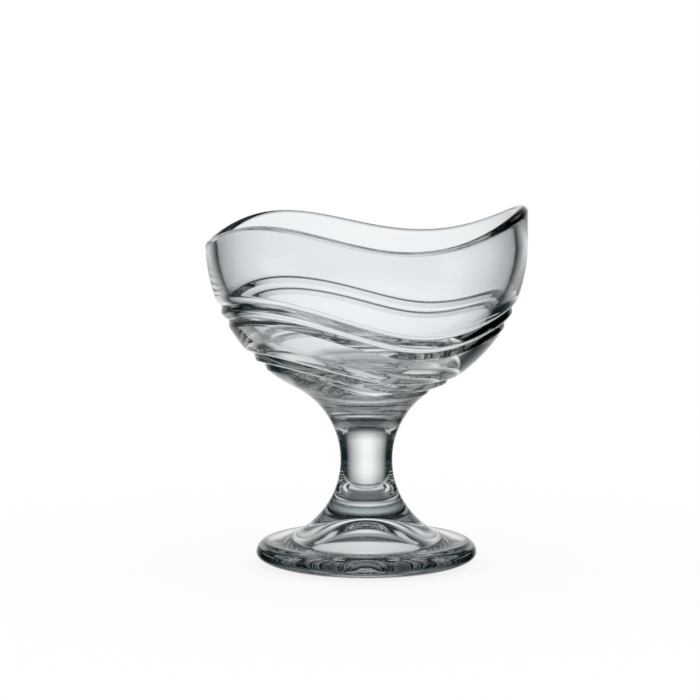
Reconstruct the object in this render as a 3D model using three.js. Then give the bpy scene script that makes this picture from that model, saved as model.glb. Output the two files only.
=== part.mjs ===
// Footed dessert dish in clear pressed glass: a round bowl with a waved rim and two pairs of waved
// ridges round its outside, a short waisted stem, and a round foot that is hollow underneath.
// Millimetres, +Z up. The origin is the centre of the circle that the foot stands on.
import * as THREE from "three";

// Bowl
const BOWL_RADIUS = 55; // outside, at the widest circle
const BOWL_WALL = 4; // from the widest circle up to the rim
const BOWL_FLOOR = 9.2; // glass between the lowest point inside and the joint with the stem

// The rim's wave, in millimetres above the widest circle: its mean level, the tilt of its plane, and
// the size of its twofold, threefold and fourfold waves. Its turn is in degrees.
const RIM_LEVEL = 5.8;
const RIM_TILT = 1.76;
const RIM_SWAY = 2.05;
const RIM_WAVE = 4.11;
const RIM_RIPPLE = -0.72;
const RIM_TURN = -1.3;

// The upper groove of each pair of ridges follows a wave of its own, in degrees of latitude on the round
// of the bowl, counted from its lowest point. Lower down the wave tilts more and turns further.
const UPPER_LATITUDE = 64.9;
const UPPER_TILT = -4.2;
const UPPER_SWAY = 2.35;
const UPPER_WAVE = 4.4;
const UPPER_TURN = -1.1;
const UPPER_PITCH = 5.7; // from the upper to the lower groove of the pair, along the wall
const UPPER_SPREAD = 0.06; // how much longer that is at +X, and shorter at -X
const LOWER_LATITUDE = 38.2;
const LOWER_TILT = -8.7;
const LOWER_SWAY = 0.5;
const LOWER_WAVE = 2.5;
const LOWER_TURN = -13.6;
const LOWER_PITCH = 6.3;
const LOWER_SPREAD = 1.2;

// One ridge in section, measured along the wall: the wall rounds under into a sharp groove, and a flat
// face leads out of the groove to the wall below it.
const RIDGE_GROOVE = 1.2; // depth under the wall
const RIDGE_ROUND = 3.2; // from the plain wall down into the groove
const RIDGE_FACE = 2.3; // from the groove down to the wall again

// Stem, whose side is one hollow arc
const WAIST_RADIUS = 8.95;
const WAIST_CURVE = 28.5; // radius of the arc
const ARC_TO_BOWL = 40.7; // degrees of the arc from the waist up to the joint with the bowl
const ARC_TO_FOOT = 42.9; // degrees of it from the waist down to the joint with the foot

// Foot
const FOOT_RADIUS = 38;
const FOOT_HEIGHT = 16.35; // up to the joint with the stem
const FOOT_EDGE_HEIGHT = 3.8; // of the widest circle of the edge
const FOOT_EDGE_ROUND = 4.1; // radius of the edge above that circle
const FOOT_UNDERCUT = 9.5; // how far the edge rounds in below that circle
const FOOT_CROWN = 4.8; // glass between the top of the hollow under it and the joint
const REST_RING_WIDTH = 4.5; // of the flat ring that it stands on
const FLARE_EASE = 0.35; // share of the flare's span that leaves and arrives straight

const GLASS_TINT = 0xe2e9eb;

// Faceting
const SEGMENTS = 64;
const LIP_STEPS = 6;
const CAVITY_STEPS = 11;
const STEM_STEPS = 12;
const FLARE_STEPS = 8;
const EDGE_STEPS = 5;
const HOLLOW_STEPS = 7;
const WALL_STEPS = 5;
const BETWEEN_STEPS = 4;
const UNDERSIDE_STEPS = 6;
const ROUND_STEPS = 3;
const LEAST_ROW = 0.05; // from one row of the wall to the next, where waves come close

const { cos, sin, sqrt, asin, acos, min, max, PI } = Math;
const radians = THREE.MathUtils.degToRad;

// The hollow arc of the stem, by its angle above the waist.
const bowlAngle = radians(ARC_TO_BOWL);
const footAngle = -radians(ARC_TO_FOOT);
const arcCentreRadius = WAIST_RADIUS + WAIST_CURVE;
const waistHeight = FOOT_HEIGHT - WAIST_CURVE * sin(footAngle);
const stemTop = waistHeight + WAIST_CURVE * sin(bowlAngle);

// The round of the bowl touches that arc, so the height of the widest circle follows from the radii.
// Lengths along the wall are counted from the widest circle, upwards.
const touchDistance = BOWL_RADIUS + WAIST_CURVE;
const touchLatitude = asin(arcCentreRadius / touchDistance);
const touchRise = BOWL_RADIUS * (touchLatitude - PI / 2);
const jointRise = touchRise - WAIST_CURVE * (PI / 2 - touchLatitude - bowlAngle);
const widestHeight = waistHeight + sqrt(touchDistance ** 2 - arcCentreRadius ** 2);
const cavityBottom = stemTop + BOWL_FLOOR;

// A point of the hollow arc as radius and height.
function arcPoint(angle) {
  return new THREE.Vector2(
    arcCentreRadius - WAIST_CURVE * cos(angle),
    waistHeight + WAIST_CURVE * sin(angle),
  );
}

// The plain outside of the bowl, by the length along the wall above the widest circle: the straight
// wall, then the round, then the hollow arc down to the stem. Gives a point and its outward normal.
function wallAt(rise) {
  if (rise >= 0) {
    return { r: BOWL_RADIUS, z: widestHeight + rise, nr: 1, nz: 0 };
  }
  if (rise >= touchRise) {
    const latitude = PI / 2 + rise / BOWL_RADIUS;
    return {
      r: BOWL_RADIUS * sin(latitude),
      z: widestHeight - BOWL_RADIUS * cos(latitude),
      nr: sin(latitude),
      nz: -cos(latitude),
    };
  }
  const angle = PI / 2 - touchLatitude + (rise - touchRise) / WAIST_CURVE;
  const p = arcPoint(angle);
  return { r: p.x, z: p.y, nr: cos(angle), nz: -sin(angle) };
}

// Height of one ridge over the plain wall, by the distance along the wall above its groove.
function ridgeRelief(above) {
  if (above >= RIDGE_ROUND || above <= -RIDGE_FACE) return 0;
  if (above >= 0) return -RIDGE_GROOVE * (1 - above / RIDGE_ROUND) ** 2;
  return -RIDGE_GROOVE * (1 + above / RIDGE_FACE);
}

// The rim's line, at an angle round the bowl from +X, as a length along the wall.
function rimRise(around) {
  const waves =
    RIM_TILT * cos(around) +
    RIM_SWAY * cos(2 * around) +
    RIM_WAVE * cos(3 * (around - radians(RIM_TURN))) +
    RIM_RIPPLE * cos(4 * around);
  return RIM_LEVEL + waves;
}

// Steps of a run from 0 to 1, without its start.
function steps(count) {
  return Array.from({ length: count }, (_, i) => (i + 1) / count);
}

// A pair of ridges: the line of its upper groove as a length along the wall, its height over the plain
// wall and the rows that follow it from below, all at an angle round the bowl.
function ridgePair(latitude, tilt, sway, wave, turn, pitch, spread) {
  const pitchAt = (around) => pitch + spread * cos(around);
  const grooveRise = (around) => {
    const waves =
      tilt * cos(around) + sway * cos(2 * around) + wave * cos(3 * (around - radians(turn)));
    return BOWL_RADIUS * (radians(latitude + waves) - PI / 2);
  };
  const relief = (rise, around) => {
    const above = rise - grooveRise(around);
    return ridgeRelief(above) + ridgeRelief(above + pitchAt(around));
  };
  const ridgeRows = (groove) => {
    const roundRows = steps(ROUND_STEPS).map((share) => groove + RIDGE_ROUND * share);
    return [groove - RIDGE_FACE, groove, ...roundRows];
  };
  const rows = (around) => {
    const upper = grooveRise(around);
    return [...ridgeRows(upper - pitchAt(around)).slice(0, -1), ...ridgeRows(upper)];
  };
  return { relief, rows };
}

const upperPair = ridgePair(
  UPPER_LATITUDE,
  UPPER_TILT,
  UPPER_SWAY,
  UPPER_WAVE,
  UPPER_TURN,
  UPPER_PITCH,
  UPPER_SPREAD,
);
const lowerPair = ridgePair(
  LOWER_LATITUDE,
  LOWER_TILT,
  LOWER_SWAY,
  LOWER_WAVE,
  LOWER_TURN,
  LOWER_PITCH,
  LOWER_SPREAD,
);

// Rows in order from below, each at least a little above the one before.
function inOrder(rises) {
  const ordered = [rises[0]];
  rises.slice(1).forEach((rise) => ordered.push(max(rise, ordered.at(-1) + LEAST_ROW)));
  return ordered;
}

// The outside of the bowl from the stem up to where the lip starts to round over, at one angle. The
// ridges fade out before the joint with the stem.
function outsideColumn(around) {
  const lower = lowerPair.rows(around);
  const upper = upperPair.rows(around);
  const lipStart = rimRise(around) - BOWL_WALL / 2;
  const run = (from, to, count) => steps(count).map((share) => from + (to - from) * share);
  const rises = [
    jointRise,
    ...run(jointRise, lower[0], UNDERSIDE_STEPS).slice(0, -1),
    ...lower,
    ...run(lower.at(-1), upper[0], BETWEEN_STEPS).slice(0, -1),
    ...upper,
    ...run(upper.at(-1), lipStart, WALL_STEPS),
  ];
  return inOrder(rises).map((rise) => {
    const wall = wallAt(rise);
    const fade = THREE.MathUtils.smoothstep(rise, jointRise, jointRise + RIDGE_FACE);
    const relief = fade * (lowerPair.relief(rise, around) + upperPair.relief(rise, around));
    return new THREE.Vector2(wall.r + relief * wall.nr, wall.z + relief * wall.nz);
  });
}

// The lip is a half round as thick as the wall, and the cavity below it is a half ellipsoid.
function insideColumn(around) {
  const lipRound = BOWL_WALL / 2;
  const lipHeight = widestHeight + rimRise(around) - lipRound;
  const lip = steps(LIP_STEPS).map((share) => {
    const r = BOWL_RADIUS - lipRound + lipRound * cos(PI * share);
    return new THREE.Vector2(r, lipHeight + lipRound * sin(PI * share));
  });
  const cavityDepth = widestHeight - cavityBottom;
  const cavityTop = min(widestHeight, lipHeight - lipRound);
  const topLatitude = acos((widestHeight - cavityTop) / cavityDepth);
  const cavity = [0, ...steps(CAVITY_STEPS).slice(0, -1)].map((share) => {
    const latitude = topLatitude * (1 - share);
    const r = (BOWL_RADIUS - BOWL_WALL) * sin(latitude);
    return new THREE.Vector2(r, widestHeight - cavityDepth * cos(latitude));
  });
  return [...lip, ...cavity];
}

// A closed skin from columns of (radius, height) points, one column for each segment round Z, with a
// point on the axis below the first row and another at the last row.
function skinOf(columns, firstHeight, lastHeight) {
  const rows = columns[0].length;
  const position = [0, 0, firstHeight, 0, 0, lastHeight];
  columns.forEach((column, i) => {
    const around = (2 * PI * i) / columns.length;
    column.forEach((p) => position.push(p.x * cos(around), p.x * sin(around), p.y));
  });
  const at = (i, j) => 2 + (i % columns.length) * rows + j;
  const index = [];
  for (let i = 0; i < columns.length; i++) {
    index.push(0, at(i + 1, 0), at(i, 0));
    for (let j = 0; j < rows - 1; j++) {
      index.push(at(i, j), at(i + 1, j), at(i + 1, j + 1));
      index.push(at(i, j), at(i + 1, j + 1), at(i, j + 1));
    }
    index.push(at(i, rows - 1), at(i + 1, rows - 1), 1);
  }
  const skin = new THREE.BufferGeometry();
  skin.setAttribute("position", new THREE.Float32BufferAttribute(position, 3));
  skin.setIndex(index);
  skin.computeVertexNormals();
  return skin;
}

// A body turned about Z from an outline that starts and ends on the axis, from below.
function turned(outline) {
  return new THREE.LatheGeometry(outline, SEGMENTS).rotateX(PI / 2);
}

function bowlGeometry() {
  const columns = Array.from({ length: SEGMENTS }, (_, i) => {
    const around = (2 * PI * i) / SEGMENTS;
    return [...outsideColumn(around), ...insideColumn(around)];
  });
  return skinOf(columns, stemTop, cavityBottom);
}

function stemGeometry() {
  const span = bowlAngle - footAngle;
  const side = [0, ...steps(STEM_STEPS)].map((share) => arcPoint(footAngle + span * share));
  return turned([new THREE.Vector2(0, FOOT_HEIGHT), ...side, new THREE.Vector2(0, stemTop)]);
}

function footGeometry() {
  // The hollow is a bell: level at its top and level again at the inside of the ring.
  const ringRadius = FOOT_RADIUS - FOOT_UNDERCUT;
  const hollowRadius = ringRadius - REST_RING_WIDTH;
  const hollowHeight = FOOT_HEIGHT - FOOT_CROWN;
  const hollow = [0, ...steps(HOLLOW_STEPS)].map((share) => {
    return new THREE.Vector2(hollowRadius * share, (hollowHeight * (1 + cos(PI * share))) / 2);
  });

  // The edge is a quarter ellipse from the ring out to the widest circle, then a quarter round.
  const quarter = steps(EDGE_STEPS).map((share) => (share * PI) / 2);
  const edge = [
    new THREE.Vector2(ringRadius, 0),
    ...quarter.map(
      (angle) =>
        new THREE.Vector2(
          ringRadius + FOOT_UNDERCUT * sin(angle),
          FOOT_EDGE_HEIGHT * (1 - cos(angle)),
        ),
    ),
    ...quarter.map(
      (angle) =>
        new THREE.Vector2(
          FOOT_RADIUS - FOOT_EDGE_ROUND * (1 - cos(angle)),
          FOOT_EDGE_HEIGHT + FOOT_EDGE_ROUND * sin(angle),
        ),
    ),
  ];

  // The top runs on from the hollow arc of the stem and arrives level at the rounded edge.
  const joint = arcPoint(footAngle);
  const shoulder = edge.at(-1);
  const ease = FLARE_EASE * joint.distanceTo(shoulder);
  const leaving = new THREE.Vector2(-sin(footAngle), -cos(footAngle)).multiplyScalar(ease).add(joint);
  const arriving = new THREE.Vector2(shoulder.x - ease, shoulder.y);
  const flare = new THREE.CubicBezierCurve(shoulder, arriving, leaving, joint);
  const top = steps(FLARE_STEPS).map((share) => flare.getPoint(share));
  return turned([...hollow, ...edge, ...top, new THREE.Vector2(0, FOOT_HEIGHT)]);
}

function clearGlass() {
  return new THREE.MeshStandardMaterial({
    color: GLASS_TINT,
    roughness: 0.03,
    metalness: 0,
    transparent: true,
    opacity: 0.35,
  });
}

function piece(name, geometry) {
  const mesh = new THREE.Mesh(geometry, clearGlass());
  mesh.name = name;
  return mesh;
}

const dish = new THREE.Group();
dish.name = "dessert_dish";
dish.add(piece("bowl", bowlGeometry()));
dish.add(piece("stem", stemGeometry()));
dish.add(piece("foot", footGeometry()));

export default dish;
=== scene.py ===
"""Footed dessert dish in clear pressed glass, dressed for a studio picture.

The dish is three pieces of glass that are fused into one: a bowl with a waved rim and two pairs of waved
ridges, a waisted stem and a hollow foot. Sizes are in millimetres in the classes below and in metres in
the meshes.
"""

import logging
import math
from dataclasses import dataclass, field
from enum import Enum
from typing import Any, Optional, Union

import bpy
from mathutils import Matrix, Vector
from mathutils.kdtree import KDTree


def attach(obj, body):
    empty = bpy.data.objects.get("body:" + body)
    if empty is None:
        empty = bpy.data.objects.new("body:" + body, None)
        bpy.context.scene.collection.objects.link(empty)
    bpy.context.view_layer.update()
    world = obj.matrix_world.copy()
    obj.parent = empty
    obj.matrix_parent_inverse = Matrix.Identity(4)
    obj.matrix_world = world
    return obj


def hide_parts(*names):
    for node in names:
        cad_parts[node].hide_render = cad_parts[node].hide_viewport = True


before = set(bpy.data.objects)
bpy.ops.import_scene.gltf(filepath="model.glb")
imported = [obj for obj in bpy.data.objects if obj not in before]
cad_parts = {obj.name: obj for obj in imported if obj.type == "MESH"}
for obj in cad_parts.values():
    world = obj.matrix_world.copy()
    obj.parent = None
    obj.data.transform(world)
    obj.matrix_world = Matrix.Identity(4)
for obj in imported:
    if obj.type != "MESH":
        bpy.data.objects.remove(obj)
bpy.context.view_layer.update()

log = logging.getLogger("dessert_dish")

MM = 0.001
SEGMENTS = 320
STAGE_SEGMENTS = 96
WHITE = (1.0, 1.0, 1.0, 1.0)

Point = tuple[float, float]
Colour = tuple[float, float, float]
Stops = tuple[tuple[float, float], ...]


class Finish(Enum):
    """The material slots of a glass piece, by what its faces are."""

    SKIN = 0
    JOINT = 1


class Rays(Enum):
    """The kinds of ray that a stage piece can be hidden from."""

    CAMERA = "visible_camera"
    DIFFUSE = "visible_diffuse"
    GLOSSY = "visible_glossy"
    TRANSMISSION = "visible_transmission"
    SCATTER = "visible_volume_scatter"
    SHADOW = "visible_shadow"


class Value:
    """A number socket that takes part in Python arithmetic by adding Math nodes."""

    def __init__(self, tree: "Tree", socket: bpy.types.NodeSocket) -> None:
        """Wraps a socket.

        Args:
            tree: the node tree that the socket belongs to.
            socket: an output socket that carries a number.
        """
        self.tree = tree
        self.socket = socket

    def maths(self, operation: str, *others: Union["Value", float], last: bool = False) -> "Value":
        """Adds a Math node.

        Args:
            operation: the Math node's operation.
            others: the other operands.
            last: puts this value after the others.

        Returns:
            The node's result.
        """
        operands = [*others, self] if last else [self, *others]
        node = self.tree.add("ShaderNodeMath", {"operation": operation}, dict(enumerate(operands)))
        return Value(self.tree, node.outputs[0])

    def ramp(self, stops: Stops) -> "Value":
        """A level by this value.

        Args:
            stops: places in order, each with its level.

        Returns:
            The level.
        """
        low, high = stops[0][0], stops[-1][0]
        places = [((place - low) / (high - low), (level,) * 3) for place, level in stops]
        node = self.tree.add("ShaderNodeValToRGB", {"stops": places}, {0: (self - low) / (high - low)})
        return Value(self.tree, node.outputs[0])

    def __add__(self, other: Union["Value", float]) -> "Value":
        """This value plus another."""
        return self.maths("ADD", other)

    __radd__ = __add__

    def __sub__(self, other: Union["Value", float]) -> "Value":
        """This value less another."""
        return self.maths("SUBTRACT", other)

    def __rsub__(self, other: float) -> "Value":
        """A number less this value."""
        return self.maths("SUBTRACT", other, last=True)

    def __mul__(self, other: Union["Value", float]) -> "Value":
        """This value times another."""
        return self.maths("MULTIPLY", other)

    __rmul__ = __mul__

    def __truediv__(self, other: Union["Value", float]) -> "Value":
        """This value over another."""
        return self.maths("DIVIDE", other)

    def __abs__(self) -> "Value":
        """This value without its sign."""
        return self.maths("ABSOLUTE")


class Tree:
    """The node tree of a material or the world, and the one way that nodes are added to it."""

    def __init__(self, owner: Union[bpy.types.Material, bpy.types.World]) -> None:
        """Starts an empty tree.

        Args:
            owner: the material or world that the tree belongs to.
        """
        owner.use_nodes = True
        self.nodes = owner.node_tree.nodes
        self.links = owner.node_tree.links
        self.nodes.clear()

    def add(
        self,
        kind: str,
        settings: Optional[dict[str, Any]] = None,
        sockets: Optional[dict[Union[str, int], Any]] = None,
    ) -> bpy.types.Node:
        """Adds a node.

        Args:
            kind: the node's type.
            settings: properties of the node, and under "stops" the places and colours of a ramp.
            sockets: values, or links from a Value or a socket, by input name or number.

        Returns:
            The node.
        """
        node = self.nodes.new(kind)
        for name, setting in (settings or {}).items():
            if name == "stops":
                self._set_stops(node.color_ramp, setting)
            else:
                setattr(node, name, setting)
        for name, given in (sockets or {}).items():
            if isinstance(given, Value):
                given = given.socket
            if isinstance(given, bpy.types.NodeSocket):
                self.links.new(given, node.inputs[name])
            else:
                node.inputs[name].default_value = given
        return node

    def _set_stops(self, ramp: bpy.types.ColorRamp, stops: list[tuple[float, Colour]]) -> None:
        """Sets a ramp's places and colours.

        Args:
            ramp: the ramp of a Color Ramp node.
            stops: places from 0 to 1 in order, each with its colour.
        """
        while len(ramp.elements) < len(stops):
            ramp.elements.new(1.0)
        for element, (place, colour) in zip(ramp.elements, stops):
            element.position = place
            element.color = (*colour, 1.0)

    def value(self, node: bpy.types.Node, output: Union[str, int] = 0) -> Value:
        """One output of a node, ready for arithmetic."""
        return Value(self, node.outputs[output])


@dataclass(frozen=True)
class Zone:
    """A part of the glass or of the studio, whose level is one ramp times another.

    On the glass and on the table the first ramp goes by the distance from the dish's axis and the second by
    the height or the depth, in millimetres. In the room they go by the angle aside from the screen's middle
    and by the height above the camera's level, in degrees.
    """

    across: Stops
    along: Stops

    def level(self, across: Value, along: Value) -> Value:
        """The level by what the two ramps go by."""
        return across.ramp(self.across) * along.ramp(self.along)


# Painted shade on the glass: in these zones its colour is darkened towards a dark colour.
FOOT_EDGE_SHADE = Zone(
    across=((0, 0.0), (32.5, 0.0), (36, 1.0), (60, 1.0)),
    along=((0, 1.0), (5.0, 1.0), (6.8, 0.0), (130, 0.0)),
)
BOWL_BELL_SHADE = Zone(
    across=((0, 1.0), (20, 1.0), (24.5, 0.0), (60, 0.0)),
    along=((0, 0.0), (57, 0.0), (58.5, 1.0), (62, 1.0), (64.5, 0.0), (130, 0.0)),
)
STEM_COLLAR_SHADE = Zone(
    across=((0, 0.8), (18, 0.8), (20, 0.0), (60, 0.0)),
    along=((0, 0.0), (47.5, 0.0), (49.5, 1.0), (51.5, 1.0), (53.5, 0.0), (130, 0.0)),
)


@dataclass(frozen=True)
class ClearGlass:
    """Fire-polished colourless soda glass with the faint ripple that a press mould leaves.

    The edge of the foot, the collar of the stem and the bell under the bowl carry painted shade: their
    colour is darkened to stand in for the dark that long ways through the heavy glass show there.
    """

    pale: Colour = (0.962, 0.984, 1.0)
    tinted: Colour = (0.954, 0.976, 0.996)
    # The dark colour of the painted shade.
    painted_shade: Colour = (0.16, 0.2, 0.215)
    painted_shade_zones: tuple[Zone, ...] = (FOOT_EDGE_SHADE, STEM_COLLAR_SHADE, BOWL_BELL_SHADE)
    ior: float = 1.52
    roughness_spread: float = 0.012
    cloud_scale: float = 45.0
    cloud_detail: float = 2.0
    ripple_scale: float = 70.0
    ripple_detail: float = 1.0
    ripple_depth: float = 0.004

    def material(self) -> bpy.types.Material:
        """Makes the glass.

        Returns:
            The material of the pieces' outer skin.
        """
        material = bpy.data.materials.new("clear_pressed_glass")
        tree = Tree(material)
        place = tree.add("ShaderNodeTexCoord").outputs["Object"]
        cloud = tree.add(
            "ShaderNodeTexNoise",
            None,
            {"Vector": place, "Scale": self.cloud_scale, "Detail": self.cloud_detail},
        )
        ripple = tree.add(
            "ShaderNodeTexNoise",
            None,
            {"Vector": place, "Scale": self.ripple_scale, "Detail": self.ripple_detail},
        )
        tint = tree.add(
            "ShaderNodeMix",
            {"data_type": "RGBA"},
            {0: cloud.outputs[0], 6: (*self.pale, 1.0), 7: (*self.tinted, 1.0)},
        )
        # Painted shade: the glass colour is mixed towards the dark colour in the shade zones.
        painted_shade = tree.add(
            "ShaderNodeMix",
            {"data_type": "RGBA"},
            {0: self._painted_shade_share(tree, place), 6: tint.outputs[2], 7: (*self.painted_shade, 1.0)},
        )
        roughness = tree.value(cloud) * self.roughness_spread
        bump = tree.add(
            "ShaderNodeBump",
            None,
            {"Strength": 1.0, "Distance": self.ripple_depth * MM, "Height": ripple.outputs[0]},
        )
        glass = tree.add(
            "ShaderNodeBsdfPrincipled",
            None,
            {
                "Base Color": painted_shade.outputs[2],
                "Roughness": roughness,
                "IOR": self.ior,
                "Transmission Weight": 1.0,
                "Normal": bump.outputs[0],
            },
        )
        tree.add("ShaderNodeOutputMaterial", None, {"Surface": glass.outputs[0]})
        return material

    def _painted_shade_share(self, tree: Tree, place: bpy.types.NodeSocket) -> Value:
        """How much painted shade the glass gets in its shade zones.

        Args:
            tree: the material's nodes.
            place: the place on the dish.

        Returns:
            The share, from 0 to 1.
        """
        parts = tree.add("ShaderNodeSeparateXYZ", None, {0: place})
        x, y, z = (tree.value(parts, i) for i in range(3))
        reach = (x * x + y * y).maths("SQRT") / MM
        levels = [zone.level(reach, z / MM) for zone in self.painted_shade_zones]
        return sum(levels[1:], levels[0])


@dataclass(frozen=True)
class FusedJoint:
    """The face inside the glass where two pieces are fused: it has no surface of its own to be seen."""

    ior: float = 1.52

    def material(self) -> bpy.types.Material:
        """Makes the joint.

        Returns:
            The material of the faces that touch a neighbour.
        """
        material = bpy.data.materials.new("fused_joint")
        tree = Tree(material)
        clear = tree.add(
            "ShaderNodeBsdfPrincipled",
            None,
            {"Alpha": 0.0, "IOR": self.ior, "Transmission Weight": 1.0},
        )
        tree.add("ShaderNodeOutputMaterial", None, {"Surface": clear.outputs[0]})
        return material


@dataclass(frozen=True)
class Wave:
    """A closed wave round the axis."""

    level: float
    tilt: float
    sway: float
    wave: float
    turn: float
    ripple: float = 0.0

    def at(self, around: Optional[float]) -> float:
        """The wave's height.

        Args:
            around: the angle from +X in radians, or nothing for the mean level.

        Returns:
            The height, in the wave's own unit.
        """
        if around is None:
            return self.level
        threefold = self.wave * math.cos(3 * (around - math.radians(self.turn)))
        return (
            self.level
            + self.tilt * math.cos(around)
            + self.sway * math.cos(2 * around)
            + threefold
            + self.ripple * math.cos(4 * around)
        )


@dataclass(frozen=True)
class RidgePair:
    """Two ridges: the wall rounds under into a sharp groove, and a flat face leads out of it, twice."""

    wave: Wave
    pitch: float
    spread: float
    groove: float = 1.2
    round_in: float = 3.2
    face: float = 2.3
    edge: float = 0.12
    face_steps: int = 4
    round_steps: int = 12

    def pitch_at(self, around: Optional[float]) -> float:
        """The distance from groove to groove, which grows towards +X.

        Args:
            around: the angle from +X in radians, or nothing for the mean.

        Returns:
            The length along the wall.
        """
        return self.pitch if around is None else self.pitch + self.spread * math.cos(around)

    def _one(self, above: float) -> float:
        """Height of one ridge.

        Args:
            above: the distance above its groove, along the wall.

        Returns:
            The height over the plain wall.
        """
        if above >= self.round_in or above <= -self.face:
            return 0.0
        if above >= 0:
            return -self.groove * (1 - above / self.round_in) ** 2
        return -self.groove * (1 + above / self.face)

    def relief(self, above: float, around: Optional[float]) -> float:
        """Height of the pair.

        Args:
            above: the distance above its upper groove, along the wall.
            around: the angle from +X, or nothing for the mean.

        Returns:
            The height over the plain wall.
        """
        return self._one(above) + self._one(above + self.pitch_at(around))

    def rows(self, around: Optional[float]) -> list[float]:
        """Rows that follow the pair from below, close together at the edges.

        Args:
            around: the angle from +X, or nothing for the mean.

        Returns:
            Distances above the upper groove.
        """
        rows = []
        for groove, top in ((-self.pitch_at(around), -self.face - self.edge), (0.0, self.round_in)):
            crest = groove - self.face
            rows += [] if rows else [crest - self.edge]
            rows += [crest, crest + self.edge]
            rows += run(crest + self.edge, groove - self.edge, self.face_steps)
            rows += [groove, groove + self.edge]
            rows += run(groove + self.edge, top, self.round_steps)
        return rows


def run(low: float, high: float, count: int) -> list[float]:
    """Even steps from one number to another.

    Args:
        low: the start, left out of the result.
        high: the end.
        count: how many steps.

    Returns:
        The numbers after the start.
    """
    return [low + (high - low) * (i + 1) / count for i in range(count)]


@dataclass(frozen=True)
class HollowArc:
    """The arc that the stem's side follows, and that runs on into the bowl and the foot."""

    waist_radius: float = 8.95
    curve: float = 28.5
    to_bowl: float = math.radians(40.7)
    to_foot: float = math.radians(42.9)
    foot_height: float = 16.35

    @property
    def centre_radius(self) -> float:
        """Radius of the circle that the arc's centre makes round the axis."""
        return self.waist_radius + self.curve

    @property
    def waist_height(self) -> float:
        """Height of the thinnest place."""
        return self.foot_height + self.curve * math.sin(self.to_foot)

    @property
    def top(self) -> float:
        """Height of the joint with the bowl."""
        return self.waist_height + self.curve * math.sin(self.to_bowl)

    def point(self, angle: float) -> Point:
        """A point of the arc.

        Args:
            angle: the angle above the waist, in radians.

        Returns:
            Radius and height.
        """
        return (
            self.centre_radius - self.curve * math.cos(angle),
            self.waist_height + self.curve * math.sin(angle),
        )


@dataclass
class GlassPiece:
    """A piece of glass turned about Z, with flat joints where it is fused to its neighbours."""

    name: str
    node: str
    arc: HollowArc = field(default_factory=HollowArc)
    joint_heights: tuple[float, ...] = ()
    hair: float = 0.03
    flatness: float = 0.0033
    merge_distance: float = 0.002
    smooth_angle: float = math.radians(35.0)

    def outline(self) -> list[Point]:
        """The section from the axis below, round the outside and back to the axis."""
        raise NotImplementedError

    def build(self, skin: bpy.types.Material, joint: bpy.types.Material) -> bpy.types.Object:
        """Models the piece and dresses it.

        Args:
            skin: the glass.
            joint: the material of its joint faces.

        Returns:
            The finished piece, riding on the dish.
        """
        piece = self._turned(self.outline())
        self.shape(piece)
        self._dress(piece, skin, joint)
        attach(piece, "root")
        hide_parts(self.node)
        return piece

    def shape(self, piece: bpy.types.Object) -> None:
        """Shapes the turned body further; a plain piece needs nothing."""

    def _turned(self, outline: list[Point]) -> bpy.types.Object:
        """Draws the outline point by point from a plane that is merged to one point, and spins it.

        Args:
            outline: radius and height of each point.

        Returns:
            The closed body.
        """
        bpy.ops.object.select_all(action="DESELECT")
        bpy.ops.mesh.primitive_plane_add(size=MM, location=(0.0, 0.0, 0.0))
        piece = bpy.context.active_object
        piece.name = piece.data.name = self.name
        bpy.ops.object.mode_set(mode="EDIT")
        bpy.ops.mesh.select_mode(type="VERT")
        bpy.ops.mesh.select_all(action="SELECT")
        bpy.ops.mesh.merge(type="CENTER")
        first = outline[0]
        bpy.ops.transform.translate(value=(first[0] * MM, 0.0, first[1] * MM))
        for low, high in zip(outline, outline[1:]):
            step = ((high[0] - low[0]) * MM, 0.0, (high[1] - low[1]) * MM)
            bpy.ops.mesh.extrude_region_move(TRANSFORM_OT_translate={"value": step})
        bpy.ops.mesh.select_all(action="SELECT")
        bpy.ops.mesh.spin(steps=SEGMENTS, angle=2 * math.pi, center=(0.0, 0.0, 0.0), axis=(0.0, 0.0, 1.0))
        bpy.ops.mesh.select_all(action="SELECT")
        bpy.ops.mesh.remove_doubles(threshold=self.merge_distance * MM)
        bpy.ops.mesh.normals_make_consistent(inside=False)
        bpy.ops.mesh.select_mode(type="FACE")
        bpy.ops.mesh.select_all(action="DESELECT")
        bpy.ops.object.mode_set(mode="OBJECT")
        return piece

    def _dress(self, piece: bpy.types.Object, skin: bpy.types.Material, joint: bpy.types.Material) -> None:
        """Gives the piece its glass and its joints.

        Args:
            piece: the shaped piece.
            skin: the glass.
            joint: the material of the joint faces.
        """
        piece.data.materials.append(skin)
        piece.data.materials.append(joint)
        bpy.ops.object.select_all(action="DESELECT")
        piece.select_set(True)
        bpy.context.view_layer.objects.active = piece
        for face in piece.data.polygons:
            level = face.center.z / MM
            face.select = any(abs(level - height) < self.flatness for height in self.joint_heights)
        bpy.ops.object.mode_set(mode="EDIT")
        piece.active_material_index = Finish.JOINT.value
        bpy.ops.object.material_slot_assign()
        bpy.ops.mesh.select_all(action="DESELECT")
        bpy.ops.object.mode_set(mode="OBJECT")
        bpy.ops.object.shade_smooth_by_angle(angle=self.smooth_angle)


@dataclass
class Stem(GlassPiece):
    """The short waisted stem, whose side is one hollow arc."""

    steps: int = 110

    def outline(self) -> list[Point]:
        """The section of the stem.

        Returns:
            Its joint with the foot, its side and its joint with the bowl.
        """
        arc = self.arc
        fine = self.hair / arc.curve
        angles = [-arc.to_foot, -arc.to_foot + fine, *run(-arc.to_foot, arc.to_bowl, self.steps)]
        angles.insert(-1, arc.to_bowl - fine)
        return [(0.0, arc.foot_height), *(arc.point(angle) for angle in angles), (0.0, arc.top)]


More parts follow.
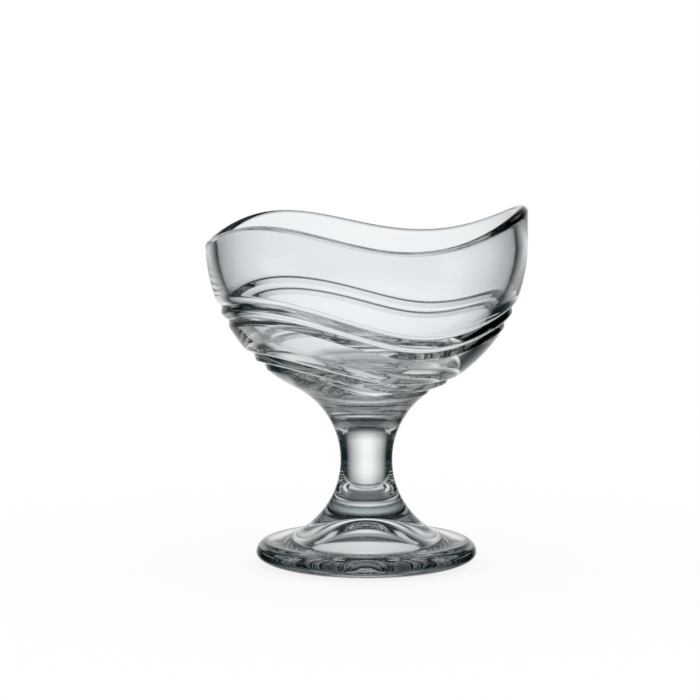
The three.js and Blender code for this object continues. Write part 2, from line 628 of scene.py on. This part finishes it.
@dataclass
class Foot(GlassPiece):
    """The round foot: a flared top, a rounded edge, a flat ring to stand on and a bell-shaped hollow."""

    radius: float = 38.0
    edge_height: float = 3.8
    edge_round: float = 4.1
    undercut: float = 9.5
    crown: float = 4.8
    ring_width: float = 4.5
    flare_ease: float = 0.35
    hollow_steps: int = 60
    edge_steps: int = 24
    flare_steps: int = 80

    def outline(self) -> list[Point]:
        """The section of the foot.

        Returns:
            Its hollow, ring, edge, top and its joint with the stem.
        """
        arc = self.arc
        ring_radius = self.radius - self.undercut
        hollow_radius = ring_radius - self.ring_width
        hollow_height = arc.foot_height - self.crown
        hollow = [
            (r, hollow_height * (0.5 + 0.5 * math.cos(math.pi * r / hollow_radius)))
            for r in [0.0, *run(0.0, hollow_radius, self.hollow_steps)]
        ]
        quarter = [0.0, *run(0.0, math.pi / 2, self.edge_steps)]
        edge = [
            (ring_radius + self.undercut * math.sin(angle), self.edge_height * (1 - math.cos(angle)))
            for angle in quarter
        ]
        edge += [
            (
                self.radius - self.edge_round * (1 - math.cos(angle)),
                self.edge_height + self.edge_round * math.sin(angle),
            )
            for angle in quarter[1:]
        ]
        return [*hollow, *edge, *self._flare(edge[-1]), (0.0, arc.foot_height)]

    def _flare(self, shoulder: Point) -> list[Point]:
        """The top of the foot, which runs on from the stem's arc and arrives level at the edge.

        Args:
            shoulder: the top of the rounded edge.

        Returns:
            The points after the shoulder, up to the joint with the stem.
        """
        arc = self.arc
        joint = Vector(arc.point(-arc.to_foot))
        level = Vector(shoulder)
        ease = self.flare_ease * (joint - level).length
        leaving = joint + ease * Vector((math.sin(arc.to_foot), -math.cos(arc.to_foot)))
        arriving = level - Vector((ease, 0.0))
        shares = run(0.0, 1.0, self.flare_steps)
        shares.insert(-1, 1.0 - self.hair / (3 * ease))
        points = []
        for t in shares:
            s = 1.0 - t
            p = s**3 * level + 3 * s**2 * t * arriving + 3 * s * t**2 * leaving + t**3 * joint
            points.append((p.x, p.y))
        return points


@dataclass
class Bowl(GlassPiece):
    """The round bowl with a waved rim and two pairs of waved ridges round its outside."""

    radius: float = 55.0
    wall: float = 4.0
    floor: float = 9.2
    rim: Wave = Wave(level=5.79, tilt=1.76, sway=2.05, wave=4.11, turn=-1.3, ripple=-0.72)
    upper: RidgePair = RidgePair(
        wave=Wave(level=64.9, tilt=-4.2, sway=2.35, wave=4.4, turn=-1.1),
        pitch=5.7,
        spread=0.06,
    )
    lower: RidgePair = RidgePair(
        wave=Wave(level=38.2, tilt=-8.7, sway=0.5, wave=2.5, turn=-13.6),
        pitch=6.3,
        spread=1.2,
    )
    underside_steps: int = 16
    between_steps: int = 12
    wall_steps: int = 24
    lip_steps: int = 18
    cavity_steps: int = 56

    @property
    def touch_distance(self) -> float:
        """From the bowl's centre to the centre of the hollow arc."""
        return self.radius + self.arc.curve

    @property
    def touch_latitude(self) -> float:
        """Latitude, from the bowl's lowest point, where its round touches the hollow arc."""
        return math.asin(self.arc.centre_radius / self.touch_distance)

    @property
    def touch_rise(self) -> float:
        """Length along the wall where the round touches the arc."""
        return self.radius * (self.touch_latitude - math.pi / 2)

    @property
    def joint_rise(self) -> float:
        """Length along the wall of the joint with the stem."""
        return self.touch_rise - self.arc.curve * (math.pi / 2 - self.touch_latitude - self.arc.to_bowl)

    @property
    def widest_height(self) -> float:
        """Height of the widest circle."""
        return self.arc.waist_height + math.sqrt(self.touch_distance**2 - self.arc.centre_radius**2)

    def _wall_at(self, rise: float) -> tuple[Point, Point]:
        """The plain outside.

        Args:
            rise: the length along the wall above the widest circle.

        Returns:
            The point and its outward normal.
        """
        if rise >= 0:
            return (self.radius, self.widest_height + rise), (1.0, 0.0)
        if rise >= self.touch_rise:
            latitude = math.pi / 2 + rise / self.radius
            normal = (math.sin(latitude), -math.cos(latitude))
            return (self.radius * normal[0], self.widest_height + self.radius * normal[1]), normal
        angle = math.pi / 2 - self.touch_latitude + (rise - self.touch_rise) / self.arc.curve
        return self.arc.point(angle), (math.cos(angle), -math.sin(angle))

    def _ridge_rise(self, pair: RidgePair, around: Optional[float]) -> float:
        """Where a pair of ridges runs.

        Args:
            pair: the pair, whose wave is in degrees of latitude.
            around: the angle from +X, or nothing for the mean level.

        Returns:
            The length along the wall of its upper groove.
        """
        return self.radius * (math.radians(pair.wave.at(around)) - math.pi / 2)

    def _outside(self, around: Optional[float]) -> list[Point]:
        """The outside from the joint to where the lip rounds over.

        Args:
            around: the angle from +X, or nothing for the plain bowl.

        Returns:
            Radius and height of each row.
        """
        lower = self._ridge_rise(self.lower, around)
        upper = self._ridge_rise(self.upper, around)
        start = self.joint_rise
        low_rows = [lower + row for row in self.lower.rows(around)]
        high_rows = [upper + row for row in self.upper.rows(around)]
        rises = [start, start + self.hair]
        rises += run(start, low_rows[0], self.underside_steps)[:-1] + low_rows
        rises += run(low_rows[-1], high_rows[0], self.between_steps)[:-1] + high_rows
        rises += run(high_rows[-1], self.rim.at(around) - self.wall / 2, self.wall_steps)
        points = []
        for rise in rises:
            (r, z), (nr, nz) = self._wall_at(rise)
            share = min(max((rise - start) / self.lower.face, 0.0), 1.0)
            fade = share**2 * (3 - 2 * share)
            relief = self.lower.relief(rise - lower, around) + self.upper.relief(rise - upper, around)
            points.append((r + fade * relief * nr, z + fade * relief * nz))
        return points

    def _inside(self, around: Optional[float]) -> list[Point]:
        """The lip, a half round whose width is the wall's, and the cavity, a half ellipsoid.

        Args:
            around: the angle from +X, or nothing for the plain bowl.

        Returns:
            Radius and height of each row, without the lowest point inside.
        """
        half = self.wall / 2
        lip_height = self.widest_height + self.rim.at(around) - half
        lip = [
            (self.radius - half + half * math.cos(angle), lip_height + half * math.sin(angle))
            for angle in run(0.0, math.pi, self.lip_steps)
        ]
        depth = self.widest_height - self.arc.top - self.floor
        cavity_top = min(self.widest_height, lip_height - half)
        top_latitude = math.acos((self.widest_height - cavity_top) / depth)
        cavity = [
            ((self.radius - self.wall) * math.sin(latitude), self.widest_height - depth * math.cos(latitude))
            for latitude in [top_latitude, *run(top_latitude, 0.0, self.cavity_steps)[:-1]]
        ]
        return lip + cavity

    def outline(self) -> list[Point]:
        """The section of the plain bowl, before it is waved.

        Returns:
            Its joint with the stem, its outside, lip and cavity.
        """
        skin = self._outside(None) + self._inside(None)
        return [(0.0, self.arc.top), *skin, (0.0, self.arc.top + self.floor)]

    def shape(self, piece: bpy.types.Object) -> None:
        """Waves the rim and the ridges.

        Args:
            piece: the plain bowl, whose rows are moved onto the waved ones.
        """
        plain = self.outline()[1:-1]
        rows = KDTree(len(plain))
        for i, (r, z) in enumerate(plain):
            rows.insert((r, z, 0.0), i)
        rows.balance()
        waved: dict[int, list[Point]] = {}
        for vertex in piece.data.vertices:
            radius = math.hypot(vertex.co.x, vertex.co.y)
            if radius < self.hair * MM:
                continue
            column = round(math.atan2(vertex.co.y, vertex.co.x) / (2 * math.pi) * SEGMENTS) % SEGMENTS
            around = 2 * math.pi * column / SEGMENTS
            if column not in waved:
                waved[column] = self._outside(around) + self._inside(around)
            row = rows.find((radius / MM, vertex.co.z / MM, 0.0))[1]
            r, z = waved[column][row]
            vertex.co = (r * MM * math.cos(around), r * MM * math.sin(around), z * MM)
        piece.data.update()


@dataclass(frozen=True)
class PaleFloor:
    """A plain pale table top that takes the dish's soft shadow."""

    colour: Colour = (0.925, 0.925, 0.925)
    whiteness: float = 0.85
    radius: float = 3.0

    def build(self) -> bpy.types.Object:
        """Makes the floor.

        Returns:
            The floor, which is not part of the dish.
        """
        bpy.ops.object.select_all(action="DESELECT")
        bpy.ops.mesh.primitive_circle_add(vertices=STAGE_SEGMENTS, radius=self.radius, fill_type="NGON")
        floor = bpy.context.active_object
        floor.name = "floor"
        material = bpy.data.materials.new("pale_floor")
        tree = Tree(material)
        matt = tree.add("ShaderNodeBsdfDiffuse", None, {"Color": (*self.colour, 1.0)})
        white = tree.add("ShaderNodeEmission", None, {"Color": WHITE, "Strength": 1.0})
        seen = tree.value(tree.add("ShaderNodeLightPath"), "Is Camera Ray") * self.whiteness
        mixed = tree.add("ShaderNodeMixShader", None, {0: seen, 1: matt.outputs[0], 2: white.outputs[0]})
        tree.add("ShaderNodeOutputMaterial", None, {"Surface": mixed.outputs[0]})
        floor.data.materials.append(material)
        for rays in (Rays.GLOSSY, Rays.TRANSMISSION):
            setattr(floor, rays.value, False)
        return floor


SCREEN = Zone(
    across=(
        (0, 1.0),
        (5, 0.97),
        (10, 0.86),
        (16, 0.68),
        (22, 0.52),
        (29, 0.3),
        (35, 0.08),
        (39, 0.0),
        (180, 0.0),
    ),
    along=(
        (-90, 0.5),
        (-60, 0.45),
        (-46, 0.4),
        (-38, 0.5),
        (-31, 0.65),
        (-25, 0.74),
        (-19, 0.9),
        (-12, 1.0),
        (16, 1.0),
        (24, 0.6),
        (34, 0.08),
        (45, 0.0),
        (90, 0.0),
    ),
)
REAR_STRIPS = Zone(
    across=((0, 0.0), (29, 0.0), (35, 0.6), (46, 0.6), (53, 0.0), (180, 0.0)),
    along=((-90, 0.0), (28, 0.0), (34, 1.0), (44, 1.0), (50, 0.0), (90, 0.0)),
)
SIDE_LAMPS = Zone(
    across=((0, 0.0), (78, 0.0), (86, 0.55), (114, 0.55), (122, 0.0), (180, 0.0)),
    along=((-90, 0.0), (6, 0.0), (12, 1.0), (26, 1.0), (32, 0.0), (90, 0.0)),
)
TOP_LAMP = Zone(
    across=((0, 0.0), (66, 0.0), (86, 1.0), (180, 1.0)),
    along=((-90, 0.0), (30, 0.0), (37, 0.25), (60, 0.25), (68, 0.14), (90, 0.08)),
)
NEAR_TABLE = Zone(
    across=((0, 0.0), (16, 0.0), (40, 1.0), (180, 1.0)),
    along=((-90, 0.75), (-40, 0.75), (-32, 0.45), (-25, 0.0), (90, 0.0)),
)
# Painted pool of light under the hollow of the foot, with painted shadow towards the ring and at the back.
PAINTED_LIGHT_UNDER_HOLLOW = Zone(
    across=((0, 0.8), (18, 0.75), (23, 0.0), (44, 0.0)),
    along=((-44, 1.0), (5, 0.95), (10, 0.2), (16, 0.15), (24, 0.35), (44, 0.3)),
)


@dataclass(frozen=True)
class Surround:
    """The studio that only the glass shows: a screen behind the dish, lamps, dark flags and a disc under the
    foot with painted light and shade.

    The room goes round the dish with the camera, as the screen and flags of a turntable studio stay with it.
    The disc under the hollow of the foot stays where it is and stands in for the table there: it carries a
    painted pool of light at its front and painted shadow towards the ring and at its back.
    """

    dark: Colour = (0.006, 0.016, 0.018)
    radius: float = 4.0
    shade_radius: float = 23.5
    shade_drop: float = 0.1
    room_glows: tuple[Zone, ...] = (SCREEN, REAR_STRIPS, SIDE_LAMPS, TOP_LAMP, NEAR_TABLE)
    painted_table_glows: tuple[Zone, ...] = (PAINTED_LIGHT_UNDER_HOLLOW,)

    def build(self, camera: bpy.types.Object, distance: float) -> None:
        """Makes the surround.

        Args:
            camera: the camera that the room goes with.
            distance: from the camera to the dish.
        """
        bpy.ops.object.select_all(action="DESELECT")
        bpy.ops.mesh.primitive_uv_sphere_add(segments=64, ring_count=32, radius=self.radius)
        room = bpy.context.active_object
        room.name = "studio_surround"
        room.parent = camera
        room.location = (0.0, 0.0, -distance)
        room.data.materials.append(self._room_light())
        # A glowing disc, seen only by the glass, with painted light and painted shadow under the foot.
        bpy.ops.object.select_all(action="DESELECT")
        bpy.ops.mesh.primitive_circle_add(
            vertices=STAGE_SEGMENTS,
            radius=self.shade_radius * MM,
            fill_type="NGON",
            location=(0.0, 0.0, -self.shade_drop * MM),
        )
        table = bpy.context.active_object
        table.name = "painted_table_disc"
        table.data.materials.append(self._painted_table_light())
        for stage in (room, table):
            for rays in (Rays.CAMERA, Rays.DIFFUSE, Rays.SCATTER, Rays.SHADOW):
                setattr(stage, rays.value, False)

    def _brightest(self, glows: tuple[Zone, ...], across: Value, along: Value) -> Value:
        """The level of the brightest glow at each place.

        Args:
            glows: the lit parts.
            across: what their first ramps go by.
            along: what their second ramps go by.

        Returns:
            The level.
        """
        levels = [glow.level(across, along) for glow in glows]
        brightest = levels[0]
        for level in levels[1:]:
            brightest = brightest.maths("MAXIMUM", level)
        return brightest

    def _room_light(self) -> bpy.types.Material:
        """The screen, the lamps and the flags, by the direction from the dish.

        Returns:
            The material of the room.
        """
        material, tree, (right, up, back) = self._start("screen_and_flags")
        aside = abs(right.maths("ARCTAN2", back * -1.0).maths("DEGREES"))
        height = (up / self.radius).maths("ARCSINE").maths("DEGREES")
        self._shine(tree, self._brightest(self.room_glows, aside, height))
        return material

    def _painted_table_light(self) -> bpy.types.Material:
        """The painted pool of light and painted shadow under the foot, by the distance from the axis and the
        depth.

        Returns:
            The material of the disc with painted light and shade.
        """
        material, tree, (x, y, _) = self._start("painted_light_and_shade_table")
        reach = (x * x + y * y).maths("SQRT") / MM
        self._shine(tree, self._brightest(self.painted_table_glows, reach, y / MM))
        return material

    def _start(self, name: str) -> tuple[bpy.types.Material, Tree, list[Value]]:
        """Starts a material of the surround.

        Args:
            name: the material's name.

        Returns:
            The material, its nodes and the place on it along the object's own X, Y and Z.
        """
        material = bpy.data.materials.new(name)
        material.cycles.emission_sampling = "NONE"
        tree = Tree(material)
        place = tree.add("ShaderNodeTexCoord").outputs["Object"]
        parts = tree.add("ShaderNodeSeparateXYZ", None, {0: place})
        return material, tree, [tree.value(parts, i) for i in range(3)]

    def _shine(self, tree: Tree, level: Value) -> None:
        """Ends a material of the surround.

        Args:
            tree: the material's nodes.
            level: 0 where it is dark and 1 where it is white.
        """
        shown = tree.add(
            "ShaderNodeMix",
            {"data_type": "RGBA"},
            {0: level, 6: (*self.dark, 1.0), 7: WHITE},
        )
        glow = tree.add("ShaderNodeEmission", None, {"Color": shown.outputs[2], "Strength": 1.0})
        tree.add("ShaderNodeOutputMaterial", None, {"Surface": glow.outputs[0]})


@dataclass(frozen=True)
class Studio:
    """The camera, the floor, the light and what the glass shows of the room."""

    eye: tuple[float, float, float] = (0.0, -0.9938, 0.18635)
    aim: tuple[float, float, float] = (-0.00565, 0.0, 0.07365)
    lens: float = 150.0
    sensor_width: float = 36.0
    sky: float = 1.08
    glass_bounces: int = 32
    glossy_bounces: int = 16
    joint_bounces: int = 48
    floor: PaleFloor = field(default_factory=PaleFloor)
    surround: Surround = field(default_factory=Surround)

    def build(self) -> None:
        """Sets the picture up."""
        scene = bpy.context.scene
        scene.view_settings.view_transform = "Standard"
        scene.cycles.max_bounces = self.glass_bounces
        scene.cycles.transmission_bounces = self.glass_bounces
        scene.cycles.glossy_bounces = self.glossy_bounces
        scene.cycles.transparent_max_bounces = self.joint_bounces
        camera = self._camera()
        scene.camera = camera
        self.floor.build()
        self.surround.build(camera, (Vector(self.aim) - Vector(self.eye)).length)
        scene.world = self._world()

    def _camera(self) -> bpy.types.Object:
        """Places the camera.

        Returns:
            The camera at the photograph's viewing angle.
        """
        bpy.ops.object.camera_add(location=self.eye)
        camera = bpy.context.active_object
        camera.name = "camera"
        camera.data.lens = self.lens
        camera.data.sensor_width = self.sensor_width
        camera.rotation_euler = (Vector(self.aim) - Vector(self.eye)).to_track_quat("-Z", "Y").to_euler()
        return camera

    def _world(self) -> bpy.types.World:
        """Makes the white room.

        Returns:
            A world that is white to the camera and lights the floor softly from all round.
        """
        world = bpy.data.worlds.new("white_room")
        tree = Tree(world)
        path = tree.add("ShaderNodeLightPath")
        strength = self.sky - (self.sky - 1.0) * tree.value(path, "Is Camera Ray")
        sky = tree.add("ShaderNodeBackground", None, {"Color": WHITE, "Strength": strength})
        tree.add("ShaderNodeOutputWorld", None, {"Surface": sky.outputs[0]})
        return world


def main() -> None:
    """Builds the dish piece by piece, then the studio."""
    logging.basicConfig(level=logging.INFO, format="%(name)s: %(message)s")
    arc = HollowArc()
    skin = ClearGlass().material()
    joint = FusedJoint().material()
    pieces = [
        Bowl("bowl_glass", "bowl", arc, (arc.top,)),
        Stem("stem_glass", "stem", arc, (arc.top, arc.foot_height)),
        Foot("foot_glass", "foot", arc, (arc.foot_height,)),
    ]
    for piece in pieces:
        made = piece.build(skin, joint)
        log.info("%s: %d faces", made.name, len(made.data.polygons))
    Studio().build()
    log.info("size written")


if __name__ == "__main__":
    main()
